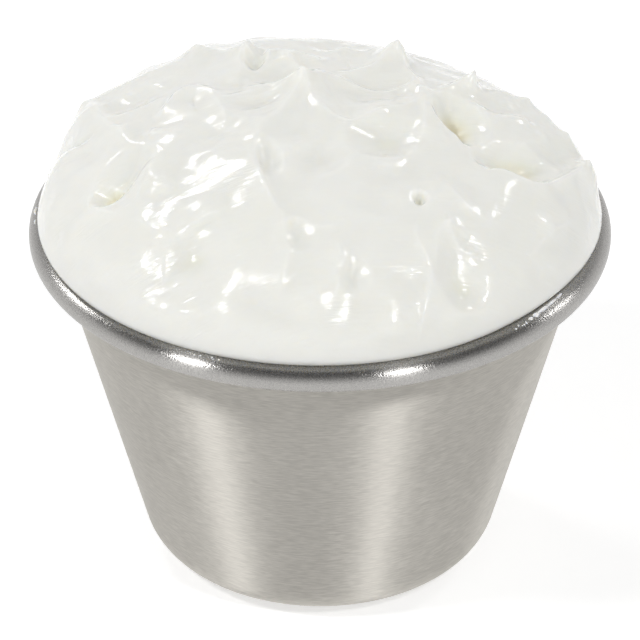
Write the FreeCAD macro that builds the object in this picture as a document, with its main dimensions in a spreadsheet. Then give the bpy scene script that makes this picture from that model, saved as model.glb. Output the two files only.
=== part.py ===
"""A round stainless sauce cup with a rolled rim, heaped with sour cream.

Units are millimetres, +Z is up, and the origin is the middle of the cup's flat
underside. The cup is one pressed sheet: floor, heel, tapered wall, and a lip that
bends outward over a level crest and curls back until its edge nearly meets the
wall. The cream fills the cup, spreads onto the crest and stands above it as a
spooned heap of scoops, sharp crests and pulled peaks.
"""

import FreeCAD, Part
import math
import os
from collections import namedtuple

import Sketcher
from FreeCAD import Vector

SIZES = {
    "rim_width": 66.0,  # over the rolled rim
    "cup_height": 42.0,
    "sheet_gauge": 0.5,
    "bead_size": 2.6,  # height of the rolled rim
    "crest_flat": 0.7,  # level stretch on top of the rim
    "curl_gap": 0.15,  # from the sheet's rolled edge to the wall
    "base_flat": 30.4,  # width of the flat underside
    "heel_radius": 5.5,  # outside bend from floor to wall
    "cream_setback": 1.6,  # from the rim's outer edge to the cream's foot
    "foot_bulge": 0.5,  # how far the cream leans out over its foot
    "foot_rise": 1.0,  # height of the cream's widest line above the rim
    "heap_height": 14.4,  # the smooth heap above the rim, without its peaks
    "heap_fullness": 2.25,  # 2 is an ellipse, and more is squarer shoulders
    "peak_room": 12.0,  # clear height above the smooth heap for its peaks
    "relief_step": 1.1,  # spacing of the heap surface's fitted points
}

# Places on the heap are shares of the foot's radius, x to the right and y to the
# back. Lifts, depths and spreads are millimetres. A crest is steep on the left of
# its path's direction and gentle on the right.
Crest = namedtuple("Crest", "path lift steep gentle")
Peak = namedtuple("Peak", "x y lift spread")
Scoop = namedtuple("Scoop", "x y depth across along turn")

CRESTS = {
    "fold over the big scoop": Crest(
        ((-0.06, 0.20), (-0.22, -0.12), (-0.22, -0.35), (-0.11, -0.61), (-0.13, -0.92)),
        lift=1.1, steep=1.3, gentle=4.0,
    ),
    "back shelf": Crest(
        ((0.34, 0.22), (0.21, 0.20), (-0.01, 0.27), (-0.30, 0.14)),
        lift=1.1, steep=1.3, gentle=3.5,
    ),
    "left shelf": Crest(
        ((-0.26, 0.54), (-0.33, 0.21), (-0.52, 0.14), (-0.60, -0.09), (-0.55, -0.16)),
        lift=0.9, steep=1.2, gentle=3.5,
    ),
    "left shoulder ridge": Crest(
        ((-0.86, 0.30), (-0.76, 0.11), (-0.69, -0.03), (-0.60, -0.09)),
        lift=0.9, steep=1.4, gentle=3.5,
    ),
    "long right crest": Crest(
        ((0.34, 0.22), (0.38, 0.00), (0.33, -0.31), (0.35, -0.61), (0.40, -0.90)),
        lift=1.2, steep=1.5, gentle=3.5,
    ),
    "crater edge": Crest(
        ((0.56, -0.24), (0.70, -0.27), (0.86, -0.16), (0.95, 0.05)),
        lift=1.2, steep=1.2, gentle=3.0,
    ),
    "rear crest": Crest(
        ((0.48, 0.20), (0.33, 0.31), (0.30, 0.68), (0.17, 0.39), (-0.03, 0.44)),
        lift=1.0, steep=1.3, gentle=3.0,
    ),
}

PEAKS = {
    "crown": Peak(0.29, 0.69, lift=2.6, spread=2.2),
    "rear right": Peak(0.55, 0.47, lift=1.8, spread=1.8),
    "right shoulder": Peak(0.93, 0.06, lift=2.0, spread=2.2),
    "left shoulder": Peak(-0.88, 0.27, lift=1.6, spread=2.6),
    "fold tip": Peak(-0.06, 0.20, lift=1.2, spread=2.0),
    "shelf tip": Peak(0.34, 0.23, lift=1.0, spread=1.8),
    "rear middle": Peak(0.09, 0.57, lift=1.1, spread=2.2),
}

SCOOPS = {
    "big scoop": Scoop(0.08, -0.30, depth=1.7, across=8.0, along=9.0, turn=20),
    "upper pit": Scoop(0.49, 0.00, depth=1.8, across=2.6, along=4.2, turn=20),
    "lower pit": Scoop(0.73, -0.19, depth=2.0, across=4.6, along=2.8, turn=-10),
    "left thumb mark": Scoop(-0.73, -0.33, depth=1.3, across=3.4, along=4.2, turn=-25),
    "lower left scoop": Scoop(-0.40, -0.72, depth=1.0, across=6.0, along=4.0, turn=10),
    "lower right scoop": Scoop(0.48, -0.74, depth=1.1, across=3.6, along=6.0, turn=15),
    "rear scoop": Scoop(-0.22, 0.34, depth=0.9, across=4.0, along=5.0, turn=0),
    "rear right fall": Scoop(0.55, 0.66, depth=1.6, across=8.0, along=8.0, turn=0),
}

SHEET = "sizes"
START, END, MIDDLE = 1, 2, 3  # which point of a sketch piece a constraint means
ORIGIN = (-1, START)


def make_sheet(doc):
    """The spreadsheet of driving dimensions, one aliased cell each."""
    sheet = doc.addObject("Spreadsheet::Sheet", SHEET)
    for row, (name, value) in enumerate(SIZES.items(), start=1):
        sheet.set("A%d" % row, name)
        sheet.set("B%d" % row, str(value))
        sheet.setAlias("B%d" % row, name)
    doc.recompute()
    return sheet


def polar(centre, radius, degrees):
    angle = math.radians(degrees)
    return (centre[0] + radius * math.cos(angle), centre[1] + radius * math.sin(angle))


class CupSection:
    """Where the cup's bends and wall lie in section, worked out from the sheet."""

    def __init__(self, sheet):
        self.height = sheet.get("cup_height")
        self.gauge = sheet.get("sheet_gauge")
        self.heel = sheet.get("heel_radius")
        self.bead = sheet.get("bead_size") / 2
        middle = self.height - self.bead
        self.rim = sheet.get("rim_width") / 2
        self.curl_at = (self.rim - self.bead, middle)
        self.bend_at = (self.curl_at[0] - sheet.get("crest_flat"), middle)
        self.heel_at = (sheet.get("base_flat") / 2, self.heel)
        self.lean = self._lean()

    def _lean(self):
        """Degrees from upright of the wall, which is tangent to heel and lip bend."""
        across = self.bend_at[0] - self.heel_at[0]
        up = self.bend_at[1] - self.heel_at[1]
        crossing = math.asin((self.heel + self.bead - self.gauge) / math.hypot(across, up))
        return math.degrees(math.atan2(across, up) - crossing)

    def heel_end(self, radius):
        """Where the wall leaves an arc about the heel's centre."""
        return polar(self.heel_at, radius, -self.lean)

    def bend_start(self, radius):
        """Where the wall meets an arc about the lip bend's centre."""
        return polar(self.bend_at, radius, 180 - self.lean)

    def wall_radius(self, z):
        """The wall's outside radius at a height."""
        foot = self.heel_end(self.heel)
        return foot[0] + (z - foot[1]) * math.tan(math.radians(self.lean))


class Outline:
    """A closed outline in a body's sketch, drawn one piece after another.

    Each piece is tied to the one before it: tangent where smooth, else corner to
    corner. Dimensions are bound to cells of the sheet by their expressions.
    """

    def __init__(self, body, start):
        self.sketch = body.newObject("Sketcher::SketchObject", body.Name + "_section")
        planes = body.Origin.OriginFeatures
        upright = next(plane for plane in planes if plane.Role == "XZ_Plane")
        self.sketch.AttachmentSupport = [(upright, "")]
        self.sketch.MapMode = "FlatFace"
        self.at = start
        self.first = None
        self.last = None

    def _tie(self, piece, begin, finish, smooth):
        if self.last is None:
            self.first = (piece, begin)
        else:
            self.fix("Tangent" if smooth else "Coincident", *self.last, piece, begin)
        self.last = (piece, finish)
        return piece

    def line(self, point, smooth=False):
        segment = Part.LineSegment(Vector(*self.at, 0), Vector(*point, 0))
        self.at = point
        return self._tie(self.sketch.addGeometry(segment), START, END, smooth)

    def arc(self, centre, radius, begin, finish, smooth=True):
        """An arc between two bearings in degrees, clockwise where they fall."""
        low, high = sorted((math.radians(begin), math.radians(finish)))
        circle = Part.Circle(Vector(*centre, 0), Vector(0, 0, 1), radius)
        piece = self.sketch.addGeometry(Part.ArcOfCircle(circle, low, high))
        self.at = polar(centre, radius, finish)
        ends = (START, END) if finish > begin else (END, START)
        return self._tie(piece, *ends, smooth)

    def close(self):
        self.fix("Coincident", *self.last, *self.first)

    def fix(self, kind, *what):
        return self.sketch.addConstraint(Sketcher.Constraint(kind, *what))

    def size(self, name, expression, kind, *what):
        """A dimension called name that follows an expression of the sheet's cells."""
        self.sketch.renameConstraint(self.fix(kind, *what), name)
        self.sketch.setExpression("Constraints." + name, expression)

    def revolve(self, body):
        """Turns the finished outline once round the upright axis."""
        solved = self.sketch.solve()
        if solved != 0 or not self.sketch.FullyConstrained:
            raise RuntimeError("%s isn't fully constrained: %s" % (self.sketch.Name, solved))
        turned = body.newObject("PartDesign::Revolution", body.Name + "_turned")
        turned.Profile = self.sketch
        turned.ReferenceAxis = (self.sketch, ["V_Axis"])
        turned.Angle = 360
        return turned


def make_cup(doc, sheet):
    """The pressed cup: its sheet in section, turned about the axis."""
    cup = CupSection(sheet)
    outer, inner = cup.bead, cup.bead - cup.gauge
    roll_level = cup.curl_at[1] - inner
    edge = cup.wall_radius(roll_level) + sheet.get("curl_gap")
    body = doc.addObject("PartDesign::Body", "sauce_cup")
    draw = Outline(body, (0, 0))
    underside = draw.line((cup.heel_at[0], 0))
    heel_out = draw.arc(cup.heel_at, cup.heel, -90, -cup.lean)
    wall_out = draw.line(cup.bend_start(inner), smooth=True)
    bend_in = draw.arc(cup.bend_at, inner, 180 - cup.lean, 90)
    crest_in = draw.line((cup.curl_at[0], cup.curl_at[1] + inner), smooth=True)
    curl_in = draw.arc(cup.curl_at, inner, 90, -90)
    roll_in = draw.line((edge, roll_level), smooth=True)
    cut_edge = draw.line((edge, cup.curl_at[1] - outer))
    roll_out = draw.line((cup.curl_at[0], cup.curl_at[1] - outer))
    curl_out = draw.arc(cup.curl_at, outer, -90, 90)
    draw.line((cup.bend_at[0], cup.height), smooth=True)
    bend_out = draw.arc(cup.bend_at, outer, 90, 180 - cup.lean)
    draw.line(cup.heel_end(cup.heel - cup.gauge), smooth=True)
    heel_in = draw.arc(cup.heel_at, cup.heel - cup.gauge, -cup.lean, -90)
    floor = draw.line((0, cup.gauge), smooth=True)
    axis = draw.line((0, 0))
    draw.close()
    draw.fix("Coincident", underside, START, *ORIGIN)
    for level in (underside, crest_in, roll_in, roll_out, floor):
        draw.fix("Horizontal", level)
    for upright in (cut_edge, axis):
        draw.fix("Vertical", upright)
    for arc, partner in ((heel_out, heel_in), (bend_in, bend_out), (curl_in, curl_out)):
        draw.fix("Coincident", arc, MIDDLE, partner, MIDDLE)
    half_bead = "%s.bead_size / 2" % SHEET
    less_gauge = " - %s.sheet_gauge" % SHEET
    draw.size("heel", SHEET + ".heel_radius", "Radius", heel_out, cup.heel)
    draw.size("heel_inside", SHEET + ".heel_radius" + less_gauge, "Radius", heel_in,
              cup.heel - cup.gauge)
    for name, arc in (("bend", bend_out), ("curl", curl_out)):
        draw.size(name, half_bead, "Radius", arc, outer)
    for name, arc in (("bend_inside", bend_in), ("curl_inside", curl_in)):
        draw.size(name, half_bead + less_gauge, "Radius", arc, inner)
    draw.size("base_half", SHEET + ".base_flat / 2", "DistanceX", *ORIGIN,
              heel_out, MIDDLE, cup.heel_at[0])
    draw.size("curl_reach", SHEET + ".rim_width / 2 - " + half_bead, "DistanceX", *ORIGIN,
              curl_out, MIDDLE, cup.curl_at[0])
    draw.size("curl_level", SHEET + ".cup_height - " + half_bead, "DistanceY", *ORIGIN,
              curl_out, MIDDLE, cup.curl_at[1])
    draw.size("crest", SHEET + ".crest_flat", "DistanceX", bend_out, MIDDLE,
              curl_out, MIDDLE, sheet.get("crest_flat"))
    draw.size("gap", SHEET + ".curl_gap", "Distance", cut_edge, START, wall_out,
              sheet.get("curl_gap"))
    draw.revolve(body)
    return body


def make_cream_blank(doc, sheet):
    """The cream as a turned blank: the cup's inside, the foot, and room for a heap."""
    cup = CupSection(sheet)
    inside = cup.heel - cup.gauge
    bulge, rise = sheet.get("foot_bulge"), sheet.get("foot_rise")
    foot = cup.rim - sheet.get("cream_setback")
    set_in = (rise ** 2 - bulge ** 2) / (2 * bulge)
    foot_at = (foot - set_in, cup.height + rise)
    lowest = math.degrees(math.atan2(-rise, set_in))
    top = cup.height + sheet.get("heap_height") + sheet.get("peak_room")
    body = doc.addObject("PartDesign::Body", "cream_blank")
    draw = Outline(body, (0, cup.gauge))
    floor = draw.line((cup.heel_at[0], cup.gauge))
    heel = draw.arc(cup.heel_at, inside, -90, -cup.lean)
    draw.line(cup.bend_start(cup.bead), smooth=True)
    bend = draw.arc(cup.bend_at, cup.bead, 180 - cup.lean, 90)
    crest = draw.line((foot, cup.height), smooth=True)
    bulging = draw.arc(foot_at, set_in + bulge, lowest, 0, smooth=False)
    flank = draw.line((foot + bulge, top), smooth=True)
    lid = draw.line((0, top))
    axis = draw.line((0, cup.gauge))
    draw.close()
    for level in (floor, crest, lid):
        draw.fix("Horizontal", level)
    for upright in (flank, axis):
        draw.fix("Vertical", upright)
    draw.fix("PointOnObject", floor, START, -2)
    half_bead = "%s.bead_size / 2" % SHEET
    crest_level = SHEET + ".cup_height"
    draw.size("floor_level", SHEET + ".sheet_gauge", "DistanceY", *ORIGIN,
              floor, START, cup.gauge)
    draw.size("heel_inside", SHEET + ".heel_radius - %s.sheet_gauge" % SHEET, "Radius",
              heel, inside)
    draw.size("base_half", SHEET + ".base_flat / 2", "DistanceX", *ORIGIN,
              heel, MIDDLE, cup.heel_at[0])
    draw.size("bend", half_bead, "Radius", bend, cup.bead)
    draw.size("bend_level", crest_level + " - " + half_bead, "DistanceY", *ORIGIN,
              bend, MIDDLE, cup.bend_at[1])
    draw.size("bend_reach", SHEET + ".rim_width / 2 - %s - %s.crest_flat" % (half_bead, SHEET),
              "DistanceX", *ORIGIN, bend, MIDDLE, cup.bend_at[0])
    draw.size("foot_reach", SHEET + ".rim_width / 2 - %s.cream_setback" % SHEET,
              "DistanceX", *ORIGIN, crest, END, foot)
    draw.size("bulge", SHEET + ".foot_bulge", "DistanceX", crest, END, bulging, END, bulge)
    draw.size("rise", SHEET + ".foot_rise", "DistanceY", crest, END, bulging, END, rise)
    draw.size("room", SHEET + ".heap_height + %s.peak_room" % SHEET, "DistanceY",
              crest, END, lid, START, top - cup.height)
    draw.revolve(body)
    return body


class Heap:
    """The heap's upper surface as a height over the plane of the rim."""

    EDGE = 1.02  # where the smooth dome would reach the rim, as a share of the foot
    STRAIGHT_FROM = 0.975  # beyond this share the flank runs on at its slope there

    def __init__(self, sheet):
        self.level = sheet.get("cup_height")
        self.height = sheet.get("heap_height")
        self.fullness = sheet.get("heap_fullness")
        self.foot = sheet.get("rim_width") / 2 - sheet.get("cream_setback")
        self.reach = self.foot + sheet.get("foot_bulge")

    def _arch(self, share):
        return self.height * (1 - (share / self.EDGE) ** self.fullness) ** (1 / self.fullness)

    def dome(self, share):
        """The smooth heap's height at a share of the foot's radius."""
        if share <= self.STRAIGHT_FROM:
            return self._arch(share)
        small = 1e-4
        edge = self._arch(self.STRAIGHT_FROM)
        slope = (edge - self._arch(self.STRAIGHT_FROM - small)) / small
        return edge + slope * (share - self.STRAIGHT_FROM)

    def crest(self, crest, x, y):
        """A sharp fold along a path, steep on its left and gentle on its right."""
        near, side = None, 0
        points = [(px * self.foot, py * self.foot) for px, py in crest.path]
        for (ax, ay), (bx, by) in zip(points, points[1:]):
            along_x, along_y = bx - ax, by - ay
            share = ((x - ax) * along_x + (y - ay) * along_y) / (along_x ** 2 + along_y ** 2)
            share = min(max(share, 0), 1)
            away_x, away_y = x - ax - share * along_x, y - ay - share * along_y
            away = math.hypot(away_x, away_y)
            if near is None or away < near:
                near, side = away, along_x * away_y - along_y * away_x
        return crest.lift * math.exp(-near / (crest.steep if side > 0 else crest.gentle))

    def peak(self, peak, x, y):
        away = math.hypot(x - peak.x * self.foot, y - peak.y * self.foot)
        return peak.lift * math.exp(-away / peak.spread)

    def scoop(self, scoop, x, y):
        turn = math.radians(scoop.turn)
        dx, dy = x - scoop.x * self.foot, y - scoop.y * self.foot
        across = (dx * math.cos(turn) + dy * math.sin(turn)) / scoop.across
        along = (dy * math.cos(turn) - dx * math.sin(turn)) / scoop.along
        return -scoop.depth * math.exp(-across ** 2 - along ** 2)

    def point(self, x, y):
        """The surface's point over a place, relief included."""
        z = self.level + self.dome(math.hypot(x, y) / self.foot)
        z += sum(self.crest(crest, x, y) for crest in CRESTS.values())
        z += sum(self.peak(peak, x, y) for peak in PEAKS.values())
        z += sum(self.scoop(scoop, x, y) for scoop in SCOOPS.values())
        return Vector(x, y, z)


def make_heap_block(doc, sheet):
    """A block whose top is the heap's surface, to trim the blank with."""
    heap = Heap(sheet)
    steps = math.ceil(2 * (heap.reach + 1) / sheet.get("relief_step"))
    half = steps * sheet.get("relief_step") / 2
    places = [-half + 2 * half * i / steps for i in range(steps + 1)]
    surface = Part.BSplineSurface()
    surface.interpolate([[heap.point(x, y) for y in places] for x in places])
    below = heap.level + heap.height + sheet.get("peak_room")
    block = doc.addObject("Part::Feature", "heap_block")
    block.Shape = surface.toShape().extrude(Vector(0, 0, -2 * below))
    return block


def make_cream(doc, sheet):
    """The cream: the turned blank where it lies under the heap's surface."""
    cream = doc.addObject("Part::Common", "sour_cream")
    cream.Base = make_cream_blank(doc, sheet)
    cream.Tool = make_heap_block(doc, sheet)
    return cream


def check(doc, parts):
    """Stops the build if any object failed or a sub-part isn't one sound solid."""
    failed = [o.Name for o in doc.Objects if {"Invalid", "Error"} & set(o.State)]
    if failed:
        raise RuntimeError("these objects failed: %s" % failed)
    for part in parts:
        shape = part.Shape
        if shape.isNull() or not shape.isValid() or len(shape.Solids) != 1:
            raise RuntimeError("%s isn't one valid solid" % part.Label)


def main():
    doc = FreeCAD.newDocument("sour_cream_cup")
    sheet = make_sheet(doc)
    parts = [make_cup(doc, sheet), make_cream(doc, sheet)]
    doc.recompute()
    check(doc, parts)
    os.makedirs("parts", exist_ok=True)
    for part in parts:
        part.Shape.exportStep("parts/%s.step" % part.Label)
        print(part.Label, "volume %.1f mm3" % part.Shape.Volume, part.Shape.BoundBox)


main()
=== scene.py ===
"""The looks of a stainless sauce cup heaped with sour cream.

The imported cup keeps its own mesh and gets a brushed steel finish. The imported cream
is replaced by a finer heap, shaped by a list of reliefs, and a few smears of cream
lie on the rim. Sizes are millimetres, as a maker notes them, and become metres
where a mesh or a lamp is made. On the heap, a place is given along its surface
from the crown: first to the right, then to the back.
"""

import logging
import math
from abc import ABC, abstractmethod
from dataclasses import dataclass, field

import bpy
import numpy as np
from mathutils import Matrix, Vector


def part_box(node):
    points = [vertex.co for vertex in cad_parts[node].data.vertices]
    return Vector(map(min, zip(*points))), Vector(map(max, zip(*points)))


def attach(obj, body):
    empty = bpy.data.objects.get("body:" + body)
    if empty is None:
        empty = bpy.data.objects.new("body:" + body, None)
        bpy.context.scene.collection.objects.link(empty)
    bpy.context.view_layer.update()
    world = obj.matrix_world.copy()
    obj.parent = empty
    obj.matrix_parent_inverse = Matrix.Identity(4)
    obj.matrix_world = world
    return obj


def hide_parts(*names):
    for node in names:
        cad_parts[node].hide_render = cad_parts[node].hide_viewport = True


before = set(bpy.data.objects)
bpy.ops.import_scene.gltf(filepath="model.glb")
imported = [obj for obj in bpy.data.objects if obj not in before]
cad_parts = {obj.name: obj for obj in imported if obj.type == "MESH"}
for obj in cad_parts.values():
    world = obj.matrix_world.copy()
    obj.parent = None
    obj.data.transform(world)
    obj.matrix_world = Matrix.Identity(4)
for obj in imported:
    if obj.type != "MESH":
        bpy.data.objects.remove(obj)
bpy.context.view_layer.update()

MM = 0.001
# the hollow measure also sets where the cream gets its painted shade, darker and warmer in pits
HOLLOW = "hollow"  # the mesh's own measure of how deep in a hollow a point lies
THIN_CREAM = (0.96, 0.96, 0.95, 1.0)
THIN_GLOW = 0.08
Place = tuple[float, float]
Span = tuple[float, float]
Point = tuple[float, float, float]
Colour = tuple[float, float, float, float]

log = logging.getLogger("sauce_cup")


def smoothstep(share: np.ndarray) -> np.ndarray:
    """A soft rise from 0 to 1 as the share goes from 0 to 1."""
    share = np.clip(share, 0.0, 1.0)
    return share * share * (3.0 - 2.0 * share)


def smooth_route(points: tuple[Place, ...], step: float = 0.4) -> np.ndarray:
    """A smooth line through a few places.

    Args:
        points: The places that the line goes through, in order.
        step: About how far apart the line's own points lie, in millimetres.

    Returns:
        The line's points, one a row.
    """
    given = np.asarray(points, float)
    ends = np.vstack([2 * given[0] - given[1], given, 2 * given[-1] - given[-2]])
    spans = []
    for before, start, stop, after in zip(ends, ends[1:], ends[2:], ends[3:]):
        count = max(2, int(np.hypot(*(stop - start)) / step) + 1)
        share = np.linspace(0.0, 1.0, count, endpoint=False)[:, None]
        spans.append(
            start
            + 0.5 * (stop - before) * share
            + (before - 2.5 * start + 2 * stop - 0.5 * after) * share**2
            + (1.5 * (start - stop) + 0.5 * (after - before)) * share**3
        )
    spans.append(given[-1:])
    return np.vstack(spans)


def show(name: str, data: bpy.types.ID) -> bpy.types.Object:
    """Puts a mesh, a lamp or a camera in the scene.

    Args:
        name: The object's name.
        data: What the object shows.

    Returns:
        The object.
    """
    thing = bpy.data.objects.new(name, data)
    bpy.context.scene.collection.objects.link(thing)
    return thing


def aim(thing: bpy.types.Object, target: Vector, bearing: float, height: float,
        away: float) -> None:
    """Places a lamp or a camera so that it looks at a point.

    Args:
        thing: The lamp or the camera.
        target: The point in metres.
        bearing: Degrees round from the front, to the right.
        height: Degrees above the level.
        away: Metres from the point.
    """
    turn, climb = math.radians(bearing), math.radians(height)
    direction = Vector((math.sin(turn) * math.cos(climb),
                        -math.cos(turn) * math.cos(climb), math.sin(climb)))
    thing.location = target + away * direction
    thing.rotation_euler = (-direction).to_track_quat("-Z", "Y").to_euler()


@dataclass
class HeapSurface:
    """The heap's places, with how far each is raised and how far it slips sideways."""

    places: np.ndarray
    rise: np.ndarray = field(init=False)
    slip: np.ndarray = field(init=False)

    def __post_init__(self) -> None:
        """Starts level, with nothing slipped."""
        self.rise = np.zeros(len(self.places))
        self.slip = np.zeros((len(self.places), 2))

    def near(self, low: np.ndarray, high: np.ndarray) -> np.ndarray:
        """The numbers of the places between two corners."""
        inside = (self.places > low) & (self.places < high)
        return np.flatnonzero(inside.all(axis=1))


class Relief(ABC):
    """One thing that a spoon left on the heap."""

    @abstractmethod
    def press(self, surface: HeapSurface) -> None:
        """Adds this relief to the surface.

        Args:
            surface: The heap's surface, which is changed.
        """


@dataclass(frozen=True)
class Ridge(Relief):
    """A sharp fold, steep on the left of its route and gentle on the right.

    A trough may run along its steep foot. The ends are how much of the lift is left
    where the route starts and stops.
    """

    route: tuple[Place, ...]
    lift: float
    steep: float
    gentle: float
    trough: float = 0.0
    ends: Span = (0.0, 0.0)

    CREST_ROUND = 0.12
    REACH = 4.5
    TAPER = 0.35
    TROUGH_OUT = 2.2
    LEAST = 1e-9

    def press(self, surface: HeapSurface) -> None:
        """Raises the fold along its route.

        Args:
            surface: The heap's surface, which is changed.
        """
        line = smooth_route(self.route)
        reach = self.REACH * max(self.steep, self.gentle)
        near = surface.near(line.min(axis=0) - reach, line.max(axis=0) + reach)
        away, side, share = self._measure(line, surface.places[near])
        first, last = self.ends
        taper = first + (1 - first) * smoothstep(share / self.TAPER)
        taper *= last + (1 - last) * smoothstep((1 - share) / self.TAPER)
        width = self.gentle + (self.steep - self.gentle) * (side + 1) / 2
        rise = self.lift * np.exp(-away / width)
        if self.trough:
            out = away / (self.TROUGH_OUT * self.steep)
            rise -= self.trough * np.clip(side, 0, 1) * out * np.exp(1 - out)
        surface.rise[near] += rise * taper

    def _measure(self, line: np.ndarray, places: np.ndarray) -> tuple[np.ndarray, ...]:
        """Where places lie beside the line.

        Args:
            line: The fold's smooth line.
            places: The places to measure.

        Returns:
            The distance from the line, the side from 1 on the left to -1 on the
            right, and the share of the way along.
        """
        legs = np.diff(line, axis=0)
        lengths = np.hypot(legs[:, 0], legs[:, 1])
        run = np.concatenate([[0.0], np.cumsum(lengths)])
        away = np.full(len(places), np.inf)
        side = np.zeros(len(places))
        share = np.zeros(len(places))
        for start, leg, length, before in zip(line, legs, lengths, run):
            offset = places - start
            along = np.clip(offset @ leg / length**2, 0.0, 1.0)
            offset -= along[:, None] * leg
            distance = np.hypot(offset[:, 0], offset[:, 1])
            closer = distance < away
            turn = leg[0] * offset[:, 1] - leg[1] * offset[:, 0]
            away[closer] = distance[closer]
            side[closer] = (turn / (length * np.maximum(distance, self.LEAST)))[closer]
            share[closer] = ((before + along * length) / run[-1])[closer]
        away = np.hypot(away, self.CREST_ROUND) - self.CREST_ROUND
        return away, side, share


@dataclass(frozen=True)
class Peak(Relief):
    """A pointed tip, which the spoon may have pulled to one side."""

    at: Place
    lift: float
    spread: float
    pull: Place = (0.0, 0.0)

    TIP_ROUND = 0.15
    PULL_POWER = 1.5

    def press(self, surface: HeapSurface) -> None:
        """Raises the tip.

        Args:
            surface: The heap's surface, which is changed.
        """
        away = np.hypot(*(surface.places - self.at).T)
        away = np.hypot(away, self.TIP_ROUND) - self.TIP_ROUND
        share = np.exp(-away / self.spread)
        surface.rise += self.lift * share
        surface.slip += share[:, None] ** self.PULL_POWER * np.array(self.pull)


@dataclass(frozen=True)
class Patch(Relief):
    """A relief inside an oval, which turns anticlockwise by some degrees."""

    at: Place
    amount: float
    across: float
    along: float
    turn: float = 0.0

    def _axes(self, surface: HeapSurface) -> tuple[np.ndarray, np.ndarray]:
        """Measures each place from the oval's middle.

        Args:
            surface: The heap's surface.

        Returns:
            How far across and how far along the oval each place lies.
        """
        cos, sin = math.cos(math.radians(self.turn)), math.sin(math.radians(self.turn))
        right, back = (surface.places - self.at).T
        return right * cos + back * sin, back * cos - right * sin


@dataclass(frozen=True)
class Swell(Patch):
    """A broad soft rise, or a fall where its amount is less than nothing."""

    def press(self, surface: HeapSurface) -> None:
        """Raises the swell.

        Args:
            surface: The heap's surface, which is changed.
        """
        across, along = self._axes(surface)
        spread = (across / self.across) ** 2 + (along / self.along) ** 2
        surface.rise += self.amount * np.exp(-spread)


@dataclass(frozen=True)
class Scoop(Patch):
    """A hollow, crisp at softness 1, deeper to its end by a skew and to its side by a tilt."""

    softness: float = 2.0
    skew: float = 0.0
    tilt: float = 0.0

    def press(self, surface: HeapSurface) -> None:
        """Sinks the hollow.

        Args:
            surface: The heap's surface, which is changed.
        """
        across, along = self._axes(surface)
        out = np.hypot(across / self.across, along / self.along)
        deeper = 1 + self.skew * np.clip(along / self.along, -1, 1)
        deeper += self.tilt * np.clip(across / self.across, -1, 1)
        hollow = np.clip(1 - out**2, 0, None) ** self.softness
        surface.rise -= self.amount * hollow * deeper


@dataclass(frozen=True)
class Drag(Patch):
    """Fine grooves that a spoon dragged, running along the oval."""

    pitch: float = 2.0

    WAVES = ((1.0, 0.0), (1.63, 1.3), (2.71, 2.6))  # rate and phase
    BEND, BEND_RATE = 0.25, 0.35
    WANDER, WANDER_RATE = 0.6, 0.5

    def press(self, surface: HeapSurface) -> None:
        """Cuts the grooves.

        Args:
            surface: The heap's surface, which is changed.
        """
        across, along = self._axes(surface)
        window = np.exp(-((across / self.across) ** 2) - (along / self.along) ** 2)
        waves = 0.0
        for number, (rate, phase) in enumerate(self.WAVES, start=1):
            bent = across / self.pitch + self.BEND * np.sin(self.BEND_RATE * along + phase)
            wander = self.WANDER * np.sin(self.WANDER_RATE * rate * along + phase)
            waves = waves + np.sin(math.tau * rate * bent + phase + wander) / number
        surface.rise += self.amount * window * waves


@dataclass(frozen=True)
class Tremble(Relief):
    """Slight unevenness all over, as waves in chance directions."""

    lengths: Span
    height: float
    count: int
    seed: int

    def press(self, surface: HeapSurface) -> None:
        """Adds the waves.

        Args:
            surface: The heap's surface, which is changed.
        """
        chance = np.random.default_rng(self.seed)
        total = np.zeros(len(surface.places))
        for _ in range(self.count):
            angle, phase = chance.uniform(0, math.tau, 2)
            rate = math.tau / chance.uniform(*self.lengths)
            run = surface.places @ np.array([math.cos(angle), math.sin(angle)])
            total += np.sin(rate * run + phase)
        surface.rise += self.height * total / math.sqrt(self.count)


@dataclass(frozen=True)
class Strokes(Relief):
    """Long soft marks that run forward from the crown, as waves round it."""

    centre: Place
    rounds: tuple[int, int]
    height: float
    count: int
    seed: int

    CALM = 9.0
    LENGTHS = (9.0, 24.0)

    def press(self, surface: HeapSurface) -> None:
        """Adds the marks.

        Args:
            surface: The heap's surface, which is changed.
        """
        chance = np.random.default_rng(self.seed)
        right, back = (surface.places - self.centre).T
        out, heading = np.hypot(right, back), np.arctan2(back, right)
        total = np.zeros(len(out))
        for _ in range(self.count):
            waves = chance.integers(*self.rounds)
            rate = math.tau / chance.uniform(*self.LENGTHS)
            first, second = chance.uniform(0, math.tau, 2)
            patches = 0.5 + 0.5 * np.sin(rate * out + second + 2 * heading)
            total += patches * np.sin(waves * heading + rate * out + first)
        calm = smoothstep(out / self.CALM) * smoothstep(0.5 - back / self.CALM)
        surface.rise += self.height * total * calm / math.sqrt(self.count)
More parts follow.
